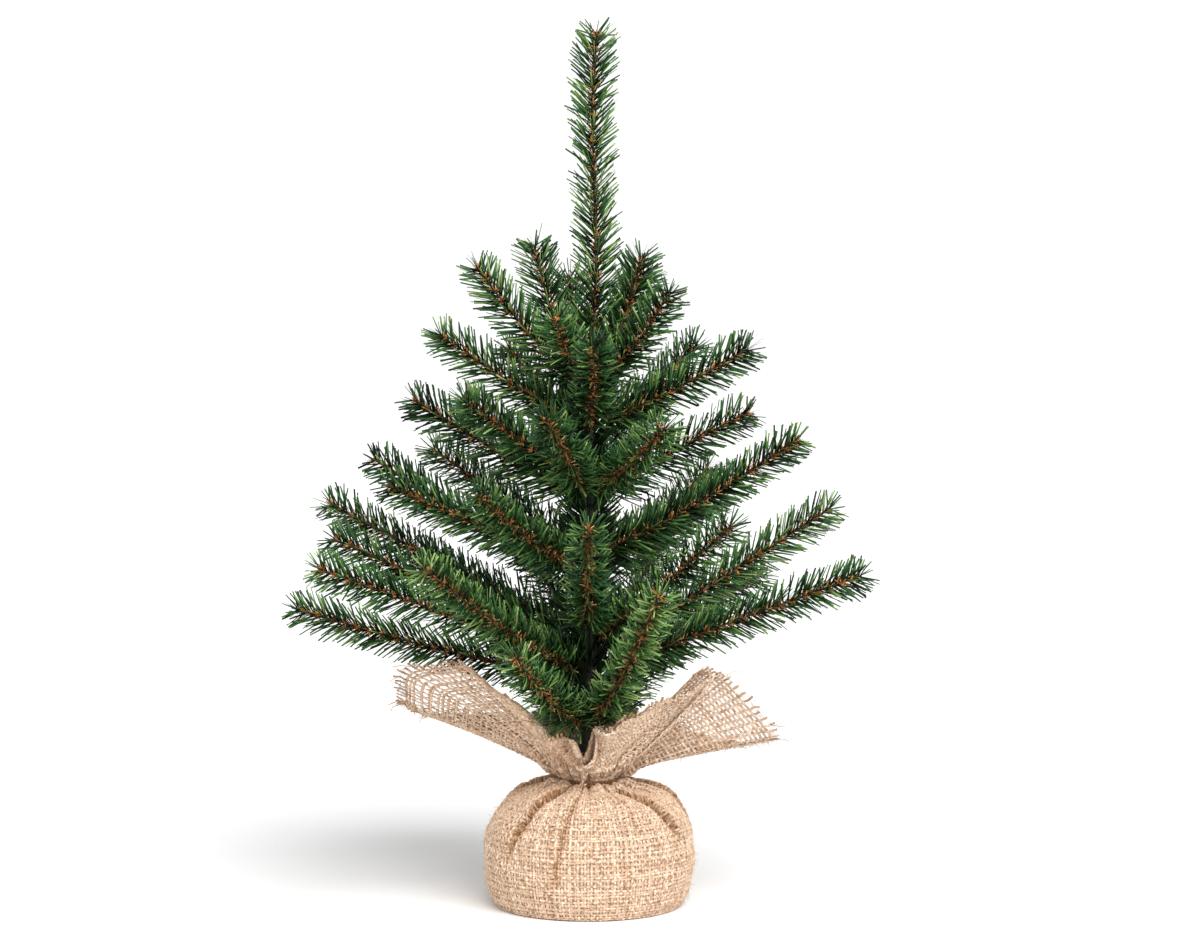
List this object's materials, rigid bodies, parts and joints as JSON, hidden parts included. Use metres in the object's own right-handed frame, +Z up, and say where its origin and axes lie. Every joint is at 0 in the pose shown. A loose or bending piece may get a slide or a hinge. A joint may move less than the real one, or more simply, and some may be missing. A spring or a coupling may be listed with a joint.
{
  "type": "artificial tabletop tree",
  "caption": "Small artificial conifer with bendable bottle-brush branches on a taped trunk, set in a weighted pot wrapped in burlap tied at the neck.",
  "frame": {"origin": "centre of the flat underside of the wrapped base, on the table", "axes": "+Z up along the trunk, -Y towards the viewer of the front, +X to the front view's right"},
  "size_m": [0.3767, 0.3257, 0.5912],
  "materials": {
    "burlap": "matte",
    "twine": "matte",
    "pot_plastic": "matte",
    "cement": "matte",
    "rod_steel": "satin",
    "green_wire": "matte",
    "trunk_tape": "matte",
    "needles": "matte"
  },
  "bodies": {
    "tree_base": {"burlap_wrap": "burlap", "neck_tie": "twine", "base_pot": "pot_plastic", "cement_fill": "cement", "trunk_rod": "rod_steel", "root_wires": "green_wire", "trunk_tape": "trunk_tape"},
    "leader_body": {"leader": "needles"},
    "bottom_branch_1_body": {"bottom_branch_1": "needles"},
    "bottom_branch_2_body": {"bottom_branch_2": "needles"},
    "bottom_branch_3_body": {"bottom_branch_3": "needles"},
    "bottom_branch_4_body": {"bottom_branch_4": "needles"},
    "lower_branch_1_body": {"lower_branch_1": "needles"},
    "lower_branch_2_body": {"lower_branch_2": "needles"},
    "lower_branch_3_body": {"lower_branch_3": "needles"},
    "lower_branch_4_body": {"lower_branch_4": "needles"},
    "lower_branch_5_body": {"lower_branch_5": "needles"},
    "lower_branch_6_body": {"lower_branch_6": "needles"},
    "lower_branch_7_body": {"lower_branch_7": "needles"},
    "lower_branch_8_body": {"lower_branch_8": "needles"},
    "lower_branch_9_body": {"lower_branch_9": "needles"},
    "lower_branch_10_body": {"lower_branch_10": "needles"},
    "lower_branch_11_body": {"lower_branch_11": "needles"},
    "lower_branch_12_body": {"lower_branch_12": "needles"},
    "lower_branch_13_body": {"lower_branch_13": "needles"},
    "lower_branch_14_body": {"lower_branch_14": "needles"},
    "middle_branch_1_body": {"middle_branch_1": "needles"},
    "middle_branch_2_body": {"middle_branch_2": "needles"},
    "middle_branch_3_body": {"middle_branch_3": "needles"},
    "middle_branch_4_body": {"middle_branch_4": "needles"},
    "middle_branch_5_body": {"middle_branch_5": "needles"},
    "middle_branch_6_body": {"middle_branch_6": "needles"},
    "middle_branch_7_body": {"middle_branch_7": "needles"},
    "middle_branch_8_body": {"middle_branch_8": "needles"},
    "upper_branch_1_body": {"upper_branch_1": "needles"},
    "upper_branch_2_body": {"upper_branch_2": "needles"},
    "upper_branch_3_body": {"upper_branch_3": "needles"},
    "upper_branch_4_body": {"upper_branch_4": "needles"},
    "upper_branch_5_body": {"upper_branch_5": "needles"},
    "upper_branch_6_body": {"upper_branch_6": "needles"},
    "upper_branch_7_body": {"upper_branch_7": "needles"},
    "upper_branch_8_body": {"upper_branch_8": "needles"},
    "high_branch_1_body": {"high_branch_1": "needles"},
    "high_branch_2_body": {"high_branch_2": "needles"},
    "high_branch_3_body": {"high_branch_3": "needles"},
    "high_branch_4_body": {"high_branch_4": "needles"},
    "high_branch_5_body": {"high_branch_5": "needles"},
    "high_branch_6_body": {"high_branch_6": "needles"},
    "crown_branch_1_body": {"crown_branch_1": "needles"},
    "crown_branch_2_body": {"crown_branch_2": "needles"},
    "crown_branch_3_body": {"crown_branch_3": "needles"},
    "crown_branch_4_body": {"crown_branch_4": "needles"},
    "crown_branch_5_body": {"crown_branch_5": "needles"},
    "crown_branch_6_body": {"crown_branch_6": "needles"},
    "crown_branch_7_body": {"crown_branch_7": "needles"}
  },
  "joints": [
    {"name": "leader_bend", "type": "hinge", "parent": "tree_base", "child": "leader_body", "pos_m": [0, 0, 0.3642], "axis": [1, 0, 0], "range_deg": [-10, 10]},
    {"name": "bottom_branch_1_bend", "type": "hinge", "parent": "tree_base", "child": "bottom_branch_1_body", "pos_m": [-0.00349, -0.00748, 0.122], "axis": [-0.9063, 0.4226, 0], "range_deg": [-6, 10]},
    {"name": "bottom_branch_2_bend", "type": "hinge", "parent": "tree_base", "child": "bottom_branch_2_body", "pos_m": [0.00268, -0.00779, 0.124], "axis": [-0.9455, -0.3256, 0], "range_deg": [-12, 15]},
    {"name": "bottom_branch_3_bend", "type": "hinge", "parent": "tree_base", "child": "bottom_branch_3_body", "pos_m": [0.00507, 0.00649, 0.124], "axis": [0.788, -0.6157, 0], "range_deg": [-12, 15]},
    {"name": "bottom_branch_4_bend", "type": "hinge", "parent": "tree_base", "child": "bottom_branch_4_body", "pos_m": [-0.00413, 0.00716, 0.12], "axis": [0.866, 0.5, 0], "range_deg": [-10, 12]},
    {"name": "lower_branch_1_bend", "type": "hinge", "parent": "tree_base", "child": "lower_branch_1_body", "pos_m": [-0.00716, 0.00304, 0.184], "axis": [0.3907, 0.9205, 0], "range_deg": [-15, 12]},
    {"name": "lower_branch_2_bend", "type": "hinge", "parent": "tree_base", "child": "lower_branch_2_body", "pos_m": [-0.00782, 0.00068, 0.174], "axis": [0.0872, 0.9962, 0], "range_deg": [-20, 8]},
    {"name": "lower_branch_3_bend", "type": "hinge", "parent": "tree_base", "child": "lower_branch_3_body", "pos_m": [-0.00788, -0.00139, 0.154], "axis": [-0.1736, 0.9848, 0], "range_deg": [-3, 12]},
    {"name": "lower_branch_4_bend", "type": "hinge", "parent": "tree_base", "child": "lower_branch_4_body", "pos_m": [-0.00706, -0.0036, 0.164], "axis": [-0.454, 0.891, 0], "range_deg": [-8, 20]},
    {"name": "lower_branch_5_bend", "type": "hinge", "parent": "tree_base", "child": "lower_branch_5_body", "pos_m": [-0.00513, -0.00611, 0.157], "axis": [-0.766, 0.6428, 0], "range_deg": [-15, 10]},
    {"name": "lower_branch_6_bend", "type": "hinge", "parent": "tree_base", "child": "lower_branch_6_body", "pos_m": [0, -0.00773, 0.19], "axis": [-1, 0, 0], "range_deg": [-20, 20]},
    {"name": "lower_branch_7_bend", "type": "hinge", "parent": "tree_base", "child": "lower_branch_7_body", "pos_m": [0.0047, -0.00623, 0.18], "axis": [-0.7986, -0.6018, 0], "range_deg": [-20, 20]},
    {"name": "lower_branch_8_bend", "type": "hinge", "parent": "tree_base", "child": "lower_branch_8_body", "pos_m": [0.00748, -0.00272, 0.16], "axis": [-0.342, -0.9397, 0], "range_deg": [-10, 20]},
    {"name": "lower_branch_9_bend", "type": "hinge", "parent": "tree_base", "child": "lower_branch_9_body", "pos_m": [0.00786, 0.00028, 0.172], "axis": [0.0349, -0.9994, 0], "range_deg": [-20, 15]},
    {"name": "lower_branch_10_bend", "type": "hinge", "parent": "tree_base", "child": "lower_branch_10_body", "pos_m": [0.00659, 0.00444, 0.162], "axis": [0.5592, -0.829, 0], "range_deg": [-20, 20]},
    {"name": "lower_branch_11_bend", "type": "hinge", "parent": "tree_base", "child": "lower_branch_11_body", "pos_m": [0.00319, 0.00716, 0.176], "axis": [0.9135, -0.4067, 0], "range_deg": [-20, 20]},
    {"name": "lower_branch_12_bend", "type": "hinge", "parent": "tree_base", "child": "lower_branch_12_body", "pos_m": [0.00028, 0.00793, 0.163], "axis": [0.9994, -0.0349, 0], "range_deg": [-20, 15]},
    {"name": "lower_branch_13_bend", "type": "hinge", "parent": "tree_base", "child": "lower_branch_13_body", "pos_m": [-0.00267, 0.00735, 0.178], "axis": [0.9397, 0.342, 0], "range_deg": [-15, 20]},
    {"name": "lower_branch_14_bend", "type": "hinge", "parent": "tree_base", "child": "lower_branch_14_body", "pos_m": [-0.0055, 0.00569, 0.166], "axis": [0.7193, 0.6947, 0], "range_deg": [-15, 20]},
    {"name": "middle_branch_1_bend", "type": "hinge", "parent": "tree_base", "child": "middle_branch_1_body", "pos_m": [-0.00588, 0.00443, 0.238], "axis": [0.6018, 0.7986, 0], "range_deg": [-20, 10]},
    {"name": "middle_branch_2_bend", "type": "hinge", "parent": "tree_base", "child": "middle_branch_2_body", "pos_m": [-0.00721, 0.0018, 0.228], "axis": [0.2419, 0.9703, 0], "range_deg": [-15, 15]},
    {"name": "middle_branch_3_bend", "type": "hinge", "parent": "tree_base", "child": "middle_branch_3_body", "pos_m": [-0.00722, -0.00153, 0.235], "axis": [-0.2079, 0.9781, 0], "range_deg": [-20, 15]},
    {"name": "middle_branch_4_bend", "type": "hinge", "parent": "tree_base", "child": "middle_branch_4_body", "pos_m": [-0.00416, -0.00617, 0.227], "axis": [-0.829, 0.5592, 0], "range_deg": [-15, 20]},
    {"name": "middle_branch_5_bend", "type": "hinge", "parent": "tree_base", "child": "middle_branch_5_body", "pos_m": [0.00723, -0.00128, 0.24], "axis": [-0.1736, -0.9848, 0], "range_deg": [-20, 15]},
    {"name": "middle_branch_6_bend", "type": "hinge", "parent": "tree_base", "child": "middle_branch_6_body", "pos_m": [0.00704, 0.00229, 0.232], "axis": [0.309, -0.9511, 0], "range_deg": [-20, 6]},
    {"name": "middle_branch_7_bend", "type": "hinge", "parent": "tree_base", "child": "middle_branch_7_body", "pos_m": [0.00498, 0.00554, 0.226], "axis": [0.7431, -0.6691, 0], "range_deg": [-20, 20]},
    {"name": "middle_branch_8_bend", "type": "hinge", "parent": "tree_base", "child": "middle_branch_8_body", "pos_m": [0, 0.00737, 0.236], "axis": [1, 0, 0], "range_deg": [-20, 15]},
    {"name": "upper_branch_1_bend", "type": "hinge", "parent": "tree_base", "child": "upper_branch_1_body", "pos_m": [-0.00703, 0, 0.28], "axis": [0, 1, 0], "range_deg": [-20, 12]},
    {"name": "upper_branch_2_bend", "type": "hinge", "parent": "tree_base", "child": "upper_branch_2_body", "pos_m": [-0.00586, -0.0038, 0.286], "axis": [-0.5446, 0.8387, 0], "range_deg": [-20, 20]},
    {"name": "upper_branch_3_bend", "type": "hinge", "parent": "tree_base", "child": "upper_branch_3_body", "pos_m": [-0.0017, -0.00682, 0.28], "axis": [-0.9703, 0.2419, 0], "range_deg": [-20, 20]},
    {"name": "upper_branch_4_bend", "type": "hinge", "parent": "tree_base", "child": "upper_branch_4_body", "pos_m": [0.00284, -0.00639, 0.285], "axis": [-0.9135, -0.4067, 0], "range_deg": [-20, 20]},
    {"name": "upper_branch_5_bend", "type": "hinge", "parent": "tree_base", "child": "upper_branch_5_body", "pos_m": [0.00689, 0.00146, 0.279], "axis": [0.2079, -0.9781, 0], "range_deg": [-8, 20]},
    {"name": "upper_branch_6_bend", "type": "hinge", "parent": "tree_base", "child": "upper_branch_6_body", "pos_m": [0.00328, 0.00617, 0.286], "axis": [0.8829, -0.4695, 0], "range_deg": [-20, 20]},
    {"name": "upper_branch_7_bend", "type": "hinge", "parent": "tree_base", "child": "upper_branch_7_body", "pos_m": [-0.00194, 0.00676, 0.28], "axis": [0.9613, 0.2756, 0], "range_deg": [-20, 20]},
    {"name": "upper_branch_8_bend", "type": "hinge", "parent": "tree_base", "child": "upper_branch_8_body", "pos_m": [-0.00606, 0.0035, 0.285], "axis": [0.5, 0.866, 0], "range_deg": [-12, 20]},
    {"name": "high_branch_1_bend", "type": "hinge", "parent": "tree_base", "child": "high_branch_1_body", "pos_m": [-0.00657, -0.00116, 0.327], "axis": [-0.1736, 0.9848, 0], "range_deg": [-15, 12]},
    {"name": "high_branch_2_bend", "type": "hinge", "parent": "tree_base", "child": "high_branch_2_body", "pos_m": [0.00023, -0.00671, 0.322], "axis": [-0.9994, -0.0349, 0], "range_deg": [-20, 20]},
    {"name": "high_branch_3_bend", "type": "hinge", "parent": "tree_base", "child": "high_branch_3_body", "pos_m": [0.00631, -0.00217, 0.327], "axis": [-0.3256, -0.9455, 0], "range_deg": [-20, 20]},
    {"name": "high_branch_4_bend", "type": "hinge", "parent": "tree_base", "child": "high_branch_4_body", "pos_m": [0.00545, 0.00396, 0.318], "axis": [0.5878, -0.809, 0], "range_deg": [-20, 20]},
    {"name": "high_branch_5_bend", "type": "hinge", "parent": "tree_base", "child": "high_branch_5_body", "pos_m": [0.0007, 0.00666, 0.324], "axis": [0.9945, -0.1045, 0], "range_deg": [-20, 20]},
    {"name": "high_branch_6_bend", "type": "hinge", "parent": "tree_base", "child": "high_branch_6_body", "pos_m": [-0.00432, 0.00515, 0.32], "axis": [0.766, 0.6428, 0], "range_deg": [-20, 20]},
    {"name": "crown_branch_1_bend", "type": "hinge", "parent": "tree_base", "child": "crown_branch_1_body", "pos_m": [-0.00617, -0.00201, 0.35], "axis": [-0.309, 0.9511, 0], "range_deg": [-12, 20]},
    {"name": "crown_branch_2_bend", "type": "hinge", "parent": "tree_base", "child": "crown_branch_2_body", "pos_m": [-0.00589, 0.00262, 0.356], "axis": [0.4067, 0.9135, 0], "range_deg": [-20, 8]},
    {"name": "crown_branch_3_bend", "type": "hinge", "parent": "tree_base", "child": "crown_branch_3_body", "pos_m": [0.00649, -0.00023, 0.35], "axis": [-0.0349, -0.9994, 0], "range_deg": [-20, 5]},
    {"name": "crown_branch_4_bend", "type": "hinge", "parent": "tree_base", "child": "crown_branch_4_body", "pos_m": [0.0048, -0.00432, 0.355], "axis": [-0.6691, -0.7431, 0], "range_deg": [-20, 15]},
    {"name": "crown_branch_5_bend", "type": "hinge", "parent": "tree_base", "child": "crown_branch_5_body", "pos_m": [-0.00263, -0.0059, 0.354], "axis": [-0.9135, 0.4067, 0], "range_deg": [-20, 20]},
    {"name": "crown_branch_6_bend", "type": "hinge", "parent": "tree_base", "child": "crown_branch_6_body", "pos_m": [0.00432, 0.0048, 0.354], "axis": [0.7431, -0.6691, 0], "range_deg": [-20, 15]},
    {"name": "crown_branch_7_bend", "type": "hinge", "parent": "tree_base", "child": "crown_branch_7_body", "pos_m": [-0.00157, 0.0063, 0.35], "axis": [0.9703, 0.2419, 0], "range_deg": [-20, 15]}
  ]
}
